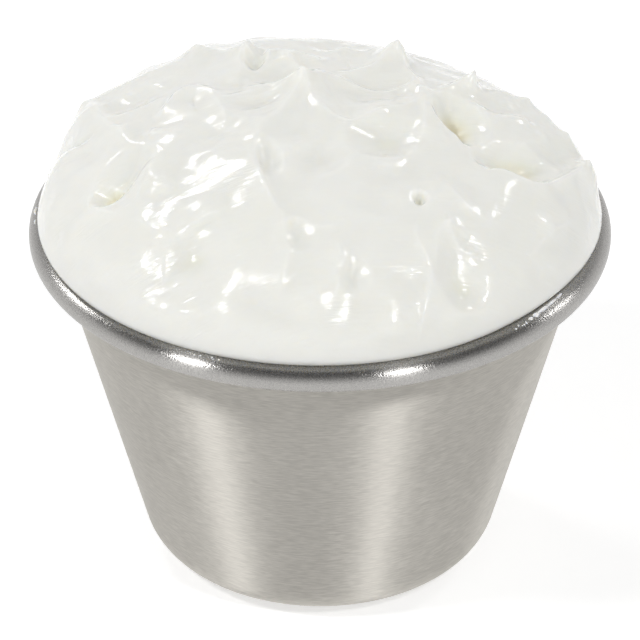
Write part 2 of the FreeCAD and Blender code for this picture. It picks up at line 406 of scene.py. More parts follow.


# Another program printed this list, so its numbers aren't worked out from named
# sizes here.
RELIEFS: tuple[Relief, ...] = (
    # the broad shape, higher at the back left
    Swell((-17.0, 19.0), 1.0, 11, 9),
    Swell((-6.0, 24.0), 0.6, 9, 6),
    Swell((17.0, 20.0), -0.35, 9, 7),
    Swell((-27.0, 8.0), 0.5, 6, 8),
    Swell((2.8, -15.1), 0.5, 5.5, 5),
    Swell((-23.1, -19.7), 0.3, 6, 5),
    # the main fold: its tip, the tent below the tip and the long crest
    Peak((-2.0, 5.1), 1.1, 1.1, pull=(0.0, -0.3)),
    Ridge(((-2.0, 5.0), (-3.1, 2.2), (-4.5, -1.5), (-6.1, -3.8), (-7.0, -7.5)),
          0.66, 1.8, 1.6, ends=(1.0, 0.6)),
    Ridge(((-6.8, -4.5), (-7.1, -7.8), (-6.8, -11.0), (-5.7, -15.6), (-3.9, -19.0)),
          0.96, 0.6, 3.2, ends=(0.3, 0.1)),
    Ridge(((-3.9, -18.2), (-3.7, -21.9), (-3.4, -23.6), (-3.6, -25.3), (-4.4, -27.5),
           (-4.8, -29.7)), 0.6, 0.7, 2.6, ends=(0.3, 0.0)),
    Scoop((-5.9, -9.3), 0.78, 1.9, 4.0, -170, 1.7),
    Scoop((-0.3, -9.8), 0.91, 3.8, 4.1, -51, 2.0),
    Ridge(((-1.6, -9.3), (-2.9, -8.1), (-4.9, -6.7)), 0.15, 0.5, 1.6),
    # the pocket right of the tent and its rim
    Scoop((7.4, -5.3), 1.3, 4.4, 5.1, -59, 1.8),
    Ridge(((10.4, -7.1), (9.1, -9.5), (7.8, -10.7), (6.4, -10.6), (5.1, -9.3)),
          0.36, 0.8, 1.6, ends=(0.3, 0.0)),
    Ridge(((10.9, -5.7), (11.5, -2.8), (11.6, 0.8), (11.4, 2.6)), 0.84, 1.1, 2.2, ends=(0.0, 0.9)),
    # the high bowl and its lips
    Scoop((5.3, 4.8), 1.2, 3.8, 7.2, -73, 1.8),
    Ridge(((11.5, 3.1), (9.3, 0.8), (7.0, -0.5), (5.1, -2.2), (3.3, -3.2), (2.0, -2.6),
           (0.7, -1.0), (-0.6, 1.2), (-1.8, 5.1)), 0.66, 1.0, 1.5, ends=(0.3, 0.9)),
    Ridge(((-1.8, 4.5), (-0.2, 6.5), (1.6, 6.4), (3.3, 6.1), (6.2, 5.2), (8.8, 5.6), (10.4, 6.4)),
          0.9, 0.7, 2.2, ends=(0.7, 0.5)),
    # the crown
    Peak((8.5, 12.9), 2.2, 1.1),
    Ridge(((8.7, 15.9), (7.6, 13.1), (6.0, 10.0), (3.5, 8.5), (1.1, 9.2)),
          0.9, 0.9, 1.8, ends=(1.0, 0.0)),
    Ridge(((11.6, 5.6), (10.2, 8.7), (9.4, 12.2), (8.8, 17.3)), 0.9, 1.6, 0.7, ends=(0.3, 1.0)),
    Ridge(((13.1, 5.1), (11.2, 4.7), (10.4, 5.9), (10.5, 7.3)), 0.6, 0.6, 0.9, ends=(0.1, 0.6)),
    # the small spike and the edge that runs to it
    Peak((16.6, 8.0), 2.2, 0.7, pull=(0.3, 0.2)),
    Ridge(((12.0, 4.3), (13.8, 5.9), (15.2, 7.5), (16.9, 11.6)), 0.66, 0.6, 1.5, ends=(0.2, 1.0)),
    Ridge(((12.3, 4.9), (14.2, 6.8), (16.6, 7.3), (19.2, 7.0)), 0.36, 0.8, 1.2),
    # the back of the heap
    Peak((2.8, 15.6), 0.8, 1.3),
    Peak((6.1, 16.1), 0.4, 1.2),
    Peak((-13.9, 17.9), 0.9, 1.6),
    Peak((-19.2, 14.5), 0.5, 2.2),
    Peak((20.0, 9.0), 0.6, 1.3),
    Peak((21.1, 9.7), 0.5, 1.2),
    Peak((23.6, 10.1), 1.0, 1.5),
    Peak((26.1, 8.9), 0.6, 1.4),
    Peak((28.6, 6.7), 0.9, 1.5),
    Ridge(((-4.3, 14.8), (-0.9, 12.3), (1.1, 11.0)), 0.6, 0.8, 1.4),
    Ridge(((-22.0, 15.0), (-14.0, 21.0), (-7.0, 23.5), (-1.0, 21.5)), 0.25, 0.9, 2.6),
    Swell((1.5, 19.5), -0.7, 2.6, 3.4),
    Swell((-16.5, 19.5), -0.45, 2.4, 3.0),
    Swell((-10.5, 20.0), -0.4, 2.0, 3.0),
    Ridge(((-18.2, 15.3), (-15.5, 18.3), (-10.7, 15.5), (-5.6, 14.9)), 0.3, 1.0, 1.4),
    # the rear left bowl, its hole and its peak
    Peak((-7.9, 14.1), 1.3, 1.0),
    Ridge(((-8.1, 16.1), (-8.5, 11.6), (-9.2, 8.5), (-11.0, 6.0)), 0.72, 0.6, 1.8, ends=(1.0, 0.0)),
    Ridge(((-7.9, 16.0), (-6.5, 14.2), (-4.5, 14.7), (-2.5, 10.7), (-0.2, 7.5)),
          0.72, 0.6, 1.8, ends=(0.6, 0.5)),
    Ridge(((-0.1, 8.2), (-1.3, 6.8), (-2.9, 5.4), (-5.6, 3.8), (-8.9, 3.0), (-11.8, 3.8)),
          0.6, 0.7, 2.0, ends=(0.6, 0.0)),
    Scoop((-4.3, 9.0), 1.3, 3.6, 4.9, -56, 1.7),
    Scoop((-7.3, 13.1), 1.6, 1.6, 3.6, -10, 1.8, tilt=-0.4),
    # the valley left of the tip
    Scoop((-6.7, 2.9), 0.78, 2.6, 4.4, -63, 2.0),
    Ridge(((-6.2, -1.2), (-8.2, -1.9), (-10.2, -0.4), (-11.6, 1.7)), 0.2, 0.8, 1.2),
    # the petal
    Ridge(((-18.3, 0.4), (-17.1, 3.2), (-15.6, 5.7), (-13.8, 6.0), (-12.1, 4.7)),
          0.9, 0.7, 3.0, ends=(0.1, 0.6)),
    Ridge(((-12.5, 6.0), (-11.5, 3.0), (-10.6, -0.5), (-10.0, -3.9)),
          0.54, 0.9, 2.2, ends=(0.6, 0.0)),
    # the shelf at the left, its lip and the crease below
    Peak((-27.5, 14.2), 1.0, 2.6),
    Ridge(((-27.2, 14.9), (-25.1, 8.4), (-23.7, 3.2), (-22.4, 1.4), (-21.1, -1.9), (-19.4, -3.1),
           (-17.5, -4.9), (-15.3, -6.9)), 0.6, 0.7, 2.4, ends=(0.6, 0.0)),
    Ridge(((-19.2, -1.9), (-18.2, 0.2)), 0.3, 0.6, 1.0),
    Scoop((-21.7, 8.2), 0.91, 3.2, 4.4, -78, 2.0),
    Ridge(((-32.6, 8.8), (-28.6, 4.7), (-25.1, 3.3)), -0.7, 1.5, 0.9, ends=(0.9, 0.0)),
    Ridge(((-31.1, 1.9), (-27.6, 0.5), (-25.2, 0.0)), -0.25, 1.2, 0.8, ends=(0.9, 0.0)),
    # the thumb mark
    Scoop((-22.2, -7.1), 1.2, 3.0, 5.7, 144, 1.8, skew=0.4),
    Scoop((-24.4, -9.4), 1.7, 2.0, 1.9, 128, 1.4),
    Ridge(((-23.7, -7.1), (-24.8, -8.3), (-25.2, -9.8), (-25.0, -11.5), (-24.0, -12.7),
           (-22.7, -13.2), (-21.5, -13.1)), 0.42, 0.5, 1.4, ends=(0.2, 0.3)),
    Ridge(((-21.5, -13.1), (-19.9, -11.5), (-18.9, -9.0), (-18.4, -5.4)),
          0.42, 1.0, 1.6, ends=(0.3, 0.0)),
    # the ledge
    Ridge(((-15.6, -12.0), (-17.7, -11.9), (-19.5, -11.8)), 0.42, 0.6, 1.4, ends=(0.0, 0.2)),
    Ridge(((-16.4, -10.7), (-17.7, -10.4), (-18.6, -10.8)), 0.2, 0.5, 0.9),
    # the scoop at the lower left
    Scoop((-15.1, -23.7), 1.2, 6.8, 6.2, 178, 2.5),
    Scoop((-14.7, -21.9), 0.3, 3.6, 3.5, -152, 2.4),
    Ridge(((-9.7, -17.0), (-11.1, -17.3), (-12.7, -18.0), (-14.3, -18.6), (-16.4, -19.8)),
          0.48, 0.6, 1.8, ends=(0.0, 0.3)),
    Ridge(((-20.5, -14.5), (-19.0, -17.0), (-17.5, -18.6), (-16.5, -19.5)), 0.3, 1.2, 0.8),
    Ridge(((-16.6, -19.7), (-17.4, -21.2), (-18.0, -23.0), (-18.7, -25.8)),
          0.42, 0.6, 2.2, ends=(0.4, 0.0)),
    Ridge(((-11.9, -29.6), (-14.8, -29.2), (-16.7, -28.4), (-18.4, -27.5)), 0.2, 0.9, 0.9),
    # the front middle
    Ridge(((3.5, -19.9), (2.2, -20.2), (0.9, -20.7), (-0.7, -20.5), (-2.4, -19.4), (-3.7, -18.6)),
          0.36, 0.7, 1.5, ends=(0.0, 0.3)),
    Ridge(((1.6, -21.3), (2.2, -23.3), (2.7, -25.3), (2.0, -27.8), (1.5, -30.0)), 0.48, 0.7, 1.8),
    Scoop((3.8, -26.4), 0.78, 2.3, 2.5, -174, 2.0),
    Scoop((-2.7, -21.6), 0.52, 2.6, 2.5, -169, 2.0),
    Swell((-0.9, -29.5), 0.35, 2.4, 2.4),
    Ridge(((-9.7, -28.2), (-7.0, -29.8), (-4.0, -31.3), (-1.6, -31.8)), -0.22, 0.9, 1.0),
    Swell((-7.1, -23.4), 0.2, 3.2, 4.4),
    # the seam and the small hole at the right
    Ridge(((12.5, -33.9), (12.2, -31.5), (12.3, -28.8), (12.7, -26.2), (12.7, -24.3),
           (11.7, -22.8), (10.8, -20.9), (11.2, -18.3), (12.1, -16.5)),
          0.36, 0.5, 1.6, ends=(0.5, 0.0)),
    Scoop((11.2, -15.2), 1.35, 0.8, 1.2, 172, 1.3),
    Scoop((11.3, -15.0), 0.25, 3.0, 1.7, -129, 2.0),
    Ridge(((11.0, -16.7), (12.1, -15.9), (12.6, -14.3), (12.2, -13.0)), 0.2, 0.8, 0.6),
    # the bowl at the lower right
    Scoop((16.3, -23.4), 1.4, 4.6, 5.8, -162, 2.0),
    Ridge(((13.6, -24.3), (13.1, -22.2), (13.4, -19.9), (14.4, -18.2)),
          0.42, 0.6, 1.4, ends=(0.0, 0.8)),
    Ridge(((14.3, -18.3), (15.1, -19.6), (16.2, -20.8), (17.5, -21.2), (19.3, -21.1)),
          0.54, 0.8, 1.2, ends=(0.9, 0.0)),
    Ridge(((15.1, -18.1), (16.1, -18.8), (17.2, -19.4)), 0.15, 0.4, 0.6),
    Scoop((17.2, -26.5), 0.5, 4.0, 2.5, -148, 2.4),
    Ridge(((19.4, -27.0), (17.6, -28.3), (15.6, -28.2), (14.1, -27.0)), 0.2, 0.6, 0.9),
    # the rise between that bowl and the right shoulder
    Ridge(((11.9, -9.8), (13.5, -12.2), (15.0, -14.0), (16.3, -15.6), (18.4, -16.6),
           (21.1, -17.4)), 0.42, 1.1, 1.9, ends=(0.2, 0.0)),
    Ridge(((28.6, -8.2), (28.8, -10.9), (27.1, -13.5), (26.2, -15.7), (24.6, -19.3)),
          0.36, 0.8, 1.2),
    # the pits at the right
    Scoop((15.9, 0.5), 2.7, 3.3, 5.6, -159, 1.6, skew=-0.4, tilt=0.5),
    Ridge(((13.6, 0.7), (14.2, -1.1), (14.9, -2.9), (16.0, -4.9)), 0.54, 0.5, 1.6, ends=(0.2, 0.1)),
    Ridge(((16.6, -5.3), (14.0, -4.7), (12.9, -1.0)), 0.2, 1.2, 1.2),
    Scoop((22.2, -4.4), 2.0, 3.4, 5.8, -71, 1.5, skew=-0.3, tilt=0.45),
    Scoop((28.1, 1.1), 0.9, 3.2, 8.1, -43, 1.7),
    Ridge(((17.4, -7.9), (18.7, -8.8), (20.1, -8.4), (22.2, -8.9), (23.8, -8.8), (25.5, -7.6),
           (27.5, -4.9), (29.2, -1.9), (31.4, 3.5)), 1.0, 0.45, 2.8, trough=0.3, ends=(0.3, 0.7)),
    Ridge(((19.7, -5.2), (21.7, -2.5), (23.9, 0.6)), 0.3, 0.6, 0.6),
    Peak((30.8, 1.9), 1.2, 1.8),
    # small rises and falls between the folds, all over the heap
    Swell((20.0, 2.7), 0.5, 2.2, 2.0),
    Swell((22.7, 2.7), 0.3, 2.0, 2.0),
    Swell((21.1, -11.5), 0.7, 4.5, 5.0),
    Swell((8.7, -31.3), 0.45, 3.0, 2.6),
    Swell((3.7, -31.4), -0.25, 2.6, 2.6),
    Swell((17.8, 3.8), 0.4, 1.1, 1.0),
    Swell((21.4, 7.2), 0.38, 1.1, 0.9),
    Swell((21.6, 3.5), 0.42, 1.2, 1.0),
    Swell((23.1, 3.5), 0.38, 1.1, 0.9),
    Swell((25.6, 2.3), 0.45, 1.3, 1.2),
    Swell((16.1, -15.3), 0.25, 1.4, 1.0),
    Swell((19.8, -16.3), 0.25, 1.3, 1.0),
    Swell((26.4, -14.0), 0.25, 1.1, 1.5),
    Swell((-2.8, 14.3), 0.3, 1.8, 1.2),
    Swell((-7.0, 3.9), 0.25, 2.2, 1.0),
    # the far flank: three scoops, a small hole and the folds beside them
    Scoop((-10.0, 27.2), 1.3, 4.0, 7.4, -72, 1.9, skew=0.3),
    Ridge(((-24.0, 22.0), (-17.5, 28.5), (-9.0, 32.5), (-1.0, 33.0)),
          0.5, 0.6, 2.0, ends=(0.2, 0.3)),
    Ridge(((-2.0, 29.5), (2.0, 29.5), (4.5, 31.0), (3.5, 33.0), (0.5, 35.0)),
          0.7, 0.6, 2.0, ends=(0.1, 0.1)),
    Scoop((13.5, 25.5), 1.2, 3.6, 6.3, -119, 1.8, skew=-0.3),
    Ridge(((6.0, 31.0), (9.5, 32.5), (15.0, 30.5), (21.5, 26.0), (25.5, 22.0)),
          0.7, 0.6, 2.0, ends=(0.2, 0.1)),
    Peak((15.2, 29.6), 0.9, 1.2),
    Ridge(((-31.0, 9.0), (-29.5, 16.0), (-25.0, 22.0), (-20.0, 28.0), (-17.0, 32.0)),
          0.6, 0.6, 2.6, ends=(0.2, 0.1)),
    Scoop((-8.5, 27.8), 1.3, 0.8, 1.3, -51, 1.2),
    Scoop((24.0, 21.0), 0.7, 2.8, 6.3, 18, 2.2),
    Swell((-13.0, 31.0), 0.4, 2.0, 1.2),
    Swell((-23.0, 26.0), 0.5, 2.4, 2.8),
    Swell((6.5, 33.0), 0.45, 2.2, 1.8),
    # fine grooves that the spoon dragged, and slight unevenness all over
    Drag((-11.3, -6.2), 0.03, 3.6, 3.6, -86, pitch=1.8),
    Drag((-21.0, 7.5), 0.03, 2.8, 3.4, -67, pitch=1.9),
    Drag((14.5, -1.9), 0.02, 2.0, 4.7, -162, pitch=1.5),
    Tremble((4.0, 9.0), 0.13, 18, 3),
    Strokes((0.0, 8.0), (10, 34), 0.06, 20, 5),
)


@dataclass
class CreamHeap:
    """The sour cream: its spooned heap, its rolled foot and what fills the cup."""

    dome_height: float = 15.56
    fullness: float = 2.14
    past_foot: float = 0.2
    foot_inset: float = 1.75
    side_spread: float = 0.75
    roll_height: float = 0.7
    roll_inset: float = 0.45
    calm_foot: float = 3.0
    foot_dents: tuple[Point, ...] = ((52.0, 24.0, 0.75),)  # bearing, spread, depth
    rings: int = 150
    hollow_from: float = 0.8
    hollow_span: float = 2.6
    fill_gap: float = 0.05
    rim_level: float = field(init=False)
    foot: float = field(init=False)

    PROFILE_STEPS = 1600
    ROLL_RINGS = 5
    BELOW_RIM = 0.2
    LEVEL_DIGITS = 1

    def __post_init__(self) -> None:
        """Takes the rim's level and the foot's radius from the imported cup."""
        cup_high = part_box("sauce_cup")[1] / MM
        self.rim_level = cup_high.z
        self.foot = cup_high.x - self.foot_inset

    def build(self) -> bpy.types.Object:
        """Makes the cream as one closed mesh.

        Returns:
            The cream's object.
        """
        surface = HeapSurface(self._disc())
        for relief in RELIEFS:
            relief.press(surface)
        heap = self._raise(surface)
        points = np.vstack([heap, self._inside()])
        cream = self._mesh(points)
        # how far the reliefs sink each point below the smooth heap, as a measure from 0 to 1 that
        # paints shade into the hollows
        depth = -surface.rise - self.hollow_from
        hollow = np.zeros(len(points))
        hollow[: len(heap)] = smoothstep(depth / self.hollow_span)
        cream.data.attributes.new(HOLLOW, "FLOAT", "POINT").data.foreach_set("value", hollow)
        return cream

    def _arc_length(self) -> tuple[np.ndarray, ...]:
        """The smooth heap's section, from the crown to the foot.

        Returns:
            The length along it, the radius, the height, and how far it runs outward
            and upward for each millimetre of its length.
        """
        whole = self.foot + self.past_foot
        last = math.asin((self.foot / whole) ** (self.fullness / 2))
        angle = np.linspace(0, last, self.PROFILE_STEPS + 1)
        radius = whole * np.sin(angle) ** (2 / self.fullness)
        height = self.dome_height * np.cos(angle) ** (2 / self.fullness)
        height -= height[-1]
        steps = np.hypot(np.diff(radius), np.diff(height))
        length = np.concatenate([[0.0], np.cumsum(steps)])
        out, up = np.gradient(radius, length), np.gradient(height, length)
        size = np.hypot(out, up)
        return length, radius, height, out / size, up / size

    def _disc(self) -> np.ndarray:
        """Evenly spread places from the crown to the foot, ring by ring.

        Returns:
            The places, one a row.
        """
        reach = self._arc_length()[0][-1]
        places = [np.zeros((1, 2))]
        for ring in range(1, self.rings + 1):
            angle = math.tau * np.arange(6 * ring) / (6 * ring)
            away = reach * ring / self.rings
            places.append(away * np.column_stack([np.cos(angle), np.sin(angle)]))
        return np.vstack(places)

    def _foot_line(self, angle: np.ndarray) -> np.ndarray:
        """How far out the foot lies.

        Args:
            angle: Angles from the cup's right side, in radians.

        Returns:
            The foot's radius at each angle.
        """
        line = self.foot + self.side_spread * np.cos(angle) ** 2
        for bearing, spread, depth in self.foot_dents:
            turn = np.degrees(angle) + 90.0 - bearing
            turn = (turn + 180.0) % 360.0 - 180.0
            line = line - depth * np.exp(-((turn / spread) ** 2))
        return line

    def _raise(self, surface: HeapSurface) -> np.ndarray:
        """Lays the surface over the smooth heap.

        Args:
            surface: The heap's surface with all its reliefs.

        Returns:
            The points of the heap in millimetres, one a row.
        """
        length, radius, height, out, up = self._arc_length()
        along = np.hypot(*surface.places.T)
        angle = np.arctan2(surface.places[:, 1], surface.places[:, 0])
        cos, sin = np.cos(angle), np.sin(angle)
        wider = 1 + (self._foot_line(angle) / self.foot - 1) * smoothstep(along / length[-1])
        r = np.interp(along, length, radius) * wider
        z = self.rim_level + self.roll_height + np.interp(along, length, height)
        run_out, run_up = np.interp(along, length, out), np.interp(along, length, up)
        calm = smoothstep((length[-1] - along) / self.calm_foot)
        rise = surface.rise * calm
        slip = surface.slip * calm[:, None]
        slip_out = slip[:, 0] * cos + slip[:, 1] * sin
        slip_round = slip[:, 1] * cos - slip[:, 0] * sin
        r = r + slip_out * run_out - rise * run_up
        z = z + slip_out * run_up + rise * run_out
        return np.column_stack([r * cos - slip_round * sin, r * sin + slip_round * cos, z])

    def _inside(self) -> np.ndarray:
        """The rolled foot and the filling below it, ring by ring to the floor.

        Returns:
            The points in millimetres, one a row, with the floor's middle last.
        """
        angle = math.tau * np.arange(6 * self.rings) / (6 * self.rings)
        foot = self._foot_line(angle)
        level = self.rim_level + self.roll_height
        rings = []
        for step in range(1, self.ROLL_RINGS + 1):
            bend = math.pi / 2 * step / self.ROLL_RINGS
            radius = foot - self.roll_inset * (1 - math.cos(bend))
            rings.append((radius, level - self.roll_height * math.sin(bend)))
        for radius, height in self._filling():
            rings.append((np.full(len(angle), radius - self.fill_gap), height))
        points = [
            np.column_stack([radius * np.cos(angle), radius * np.sin(angle),
                             np.full(len(angle), height)])
            for radius, height in rings
        ]
        points.append(np.array([[0.0, 0.0, rings[-1][1]]]))
        return np.vstack(points)

    def _filling(self) -> list[Place]:
        """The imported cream's own section below the rim.

        Returns:
            A radius and a height for each level, from the top down.
        """
        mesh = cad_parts["sour_cream"].data
        points = np.array([vertex.co for vertex in mesh.vertices]) / MM
        below = points[points[:, 2] < self.rim_level - self.BELOW_RIM]
        levels = np.round(below[:, 2], self.LEVEL_DIGITS)
        section = []
        for level in sorted(set(levels), reverse=True):
            band = below[levels == level]
            radius = np.hypot(band[:, 0], band[:, 1]).max()
            section.append((float(radius), float(band[:, 2].min())))
        return section

    def _mesh(self, points: np.ndarray) -> bpy.types.Object:
        """Joins the points into one closed smooth mesh.

        Args:
            points: All points in millimetres, from the crown to the cup's floor.

        Returns:
            The cream's object.
        """
        faces = [self._ring_faces(ring) for ring in range(1, self.rings + 1)]
        count = 6 * self.rings
        last = self._first_of(self.rings)
        corner = np.arange(count)
        after = (corner + 1) % count
        while last + 2 * count < len(points):
            below = last + count
            faces.append(np.column_stack([last + corner, below + corner, below + after]))
            faces.append(np.column_stack([last + corner, below + after, last + after]))
            last = below
        floor = len(points) - 1
        faces.append(np.column_stack([last + corner, np.full(count, floor), last + after]))
        mesh = bpy.data.meshes.new("sour_cream_heap")
        mesh.from_pydata((points * MM).tolist(), [], np.vstack(faces).tolist())
        mesh.polygons.foreach_set("use_smooth", [True] * len(mesh.polygons))
        mesh.update()
        return show("sour_cream_heap", mesh)

    @staticmethod
    def _first_of(ring: int) -> int:
        """The number of a ring's first point."""
        return 1 + 3 * ring * (ring - 1)

    def _ring_faces(self, ring: int) -> np.ndarray:
        """The triangles between a ring and the one inside it.

        Args:
            ring: The outer ring's number. The ring has six times as many points.

        Returns:
            The triangles, one a row.
        """
        around, within = 6 * ring, max(6 * (ring - 1), 1)
        inner = self._first_of(ring - 1) if ring > 1 else 0
        outer = self._first_of(ring)
        sector, step = np.divmod(np.arange(around), ring)
        near = inner + (sector * (ring - 1) + step) % within
        start = outer + np.arange(around)
        stop = outer + (np.arange(around) + 1) % around
        faces = [np.column_stack([start, stop, near])]
        fill = step < ring - 1
        beyond = inner + (sector * (ring - 1) + step + 1) % within
        faces.append(np.column_stack([stop[fill], beyond[fill], near[fill]]))
        return np.vstack(faces)


class Nodes:
    """A short way to place and join a material's or a group's nodes."""

    FIRST_COLOUR, SECOND_COLOUR, MIXED_COLOUR = 6, 7, 2  # sockets of a Mix node

    def __init__(self, tree: bpy.types.NodeTree) -> None:
        """Starts in an empty tree."""
        self.tree = tree
        self.tree.nodes.clear()

    def add(self, kind: str, **settings: object) -> bpy.types.Node:
        """Places a node.

        Args:
            kind: The node's Blender type.
            **settings: Its properties, by name.

        Returns:
            The node.
        """
        node = self.tree.nodes.new(kind)
        for name, value in settings.items():
            setattr(node, name, value)
        return node

    def feed(self, socket: bpy.types.NodeSocket, source: object) -> None:
        """Joins a socket to an output, or sets it to a constant.

        Args:
            socket: The socket.
            source: Another node's output, or a value.
        """
        if isinstance(source, bpy.types.NodeSocket):
            self.tree.links.new(source, socket)
        else:
            socket.default_value = source

    def maths(self, operation: str, *values: object) -> bpy.types.NodeSocket:
        """The result of a Math node.

        Args:
            operation: The node's operation.
            *values: Its inputs, as outputs of other nodes or numbers.

        Returns:
            The node's output.
        """
        node = self.add("ShaderNodeMath", operation=operation)
        for socket, value in zip(node.inputs, values):
            self.feed(socket, value)
        return node.outputs[0]

    def blend(self, share: object, first: object, second: object) -> bpy.types.NodeSocket:
        """A colour between two.

        Args:
            share: How much of the second colour there is, from 0 to 1.
            first: The first colour.
            second: The second colour.

        Returns:
            The node's output.
        """
        node = self.add("ShaderNodeMix", data_type="RGBA")
        self.feed(node.inputs["Factor"], share)
        self.feed(node.inputs[self.FIRST_COLOUR], first)
        self.feed(node.inputs[self.SECOND_COLOUR], second)
        return node.outputs[self.MIXED_COLOUR]

    def between(self, share: object, low: float, high: float) -> bpy.types.NodeSocket:
        """A number between two constants.

        Args:
            share: How much of the way to the second it is, from 0 to 1.
            low: The first number.
            high: The second number.

        Returns:
            The node's output.
        """
        node = self.add("ShaderNodeMapRange")
        self.feed(node.inputs["Value"], share)
        node.inputs["To Min"].default_value = low
        node.inputs["To Max"].default_value = high
        return node.outputs[0]

    def part_way(self, share: object, first: object, second: object) -> bpy.types.NodeSocket:
        """A number between two other nodes' outputs, by a share."""
        difference = self.maths("SUBTRACT", second, first)
        return self.maths("MULTIPLY_ADD", difference, share, first)


def new_material(name: str) -> tuple[bpy.types.Material, Nodes]:
    """An empty material, with a way to place its nodes.

    Args:
        name: The material's name.

    Returns:
        The material and its nodes.
    """
    material = bpy.data.materials.new(name)
    material.use_nodes = True
    return material, Nodes(material.node_tree)


@dataclass(frozen=True)
class Mottle:
    """Soft uneven patches, as a shader group that more than one finish uses."""

    scale: float = 100.0  # patches to the metre
    detail: float = 3.0  # how many finer layers they have
    contrast: float = 1.5  # how far they part from the middle

    NAME = "mottle"
    MIDDLE = 0.5

    def place(self, nodes: Nodes, at: bpy.types.NodeSocket) -> bpy.types.NodeSocket:
        """Puts the group in a material.

        Args:
            nodes: The material's nodes.
            at: The coordinates that the patches follow.

        Returns:
            The share, from 0 to 1.
        """
        tree = bpy.data.node_groups.get(self.NAME) or self._tree()
        group = nodes.add("ShaderNodeGroup", node_tree=tree)
        nodes.feed(group.inputs["Place"], at)
        for name, value in self._settings().items():
            group.inputs[name].default_value = value
        return group.outputs["Share"]

    def _settings(self) -> dict[str, float]:
        """The group's inputs, by name."""
        return {"Scale": self.scale, "Detail": self.detail, "Contrast": self.contrast}

    @classmethod
    def _tree(cls) -> bpy.types.NodeTree:
        """Builds the group.

        Returns:
            The group's tree.
        """
        tree = bpy.data.node_groups.new(cls.NAME, "ShaderNodeTree")
        place = tree.interface.new_socket("Place", in_out="INPUT", socket_type="NodeSocketVector")
        place.hide_value = True
        for name, value in cls()._settings().items():
            socket = tree.interface.new_socket(name, in_out="INPUT", socket_type="NodeSocketFloat")
            socket.default_value = value
        tree.interface.new_socket("Share", in_out="OUTPUT", socket_type="NodeSocketFloat")
        nodes = Nodes(tree)
        given = nodes.add("NodeGroupInput")
        result = nodes.add("NodeGroupOutput")
        noise = nodes.add("ShaderNodeTexNoise")
        nodes.feed(noise.inputs["Vector"], given.outputs["Place"])
        nodes.feed(noise.inputs["Scale"], given.outputs["Scale"])
        nodes.feed(noise.inputs["Detail"], given.outputs["Detail"])
        spread = nodes.maths("SUBTRACT", noise.outputs["Fac"], cls.MIDDLE)
        spread = nodes.maths("MULTIPLY", spread, given.outputs["Contrast"])
        share = nodes.add("ShaderNodeMath", operation="ADD", use_clamp=True)
        nodes.feed(share.inputs[0], spread)
        nodes.feed(share.inputs[1], cls.MIDDLE)
        nodes.feed(result.inputs["Share"], share.outputs[0])
        return tree


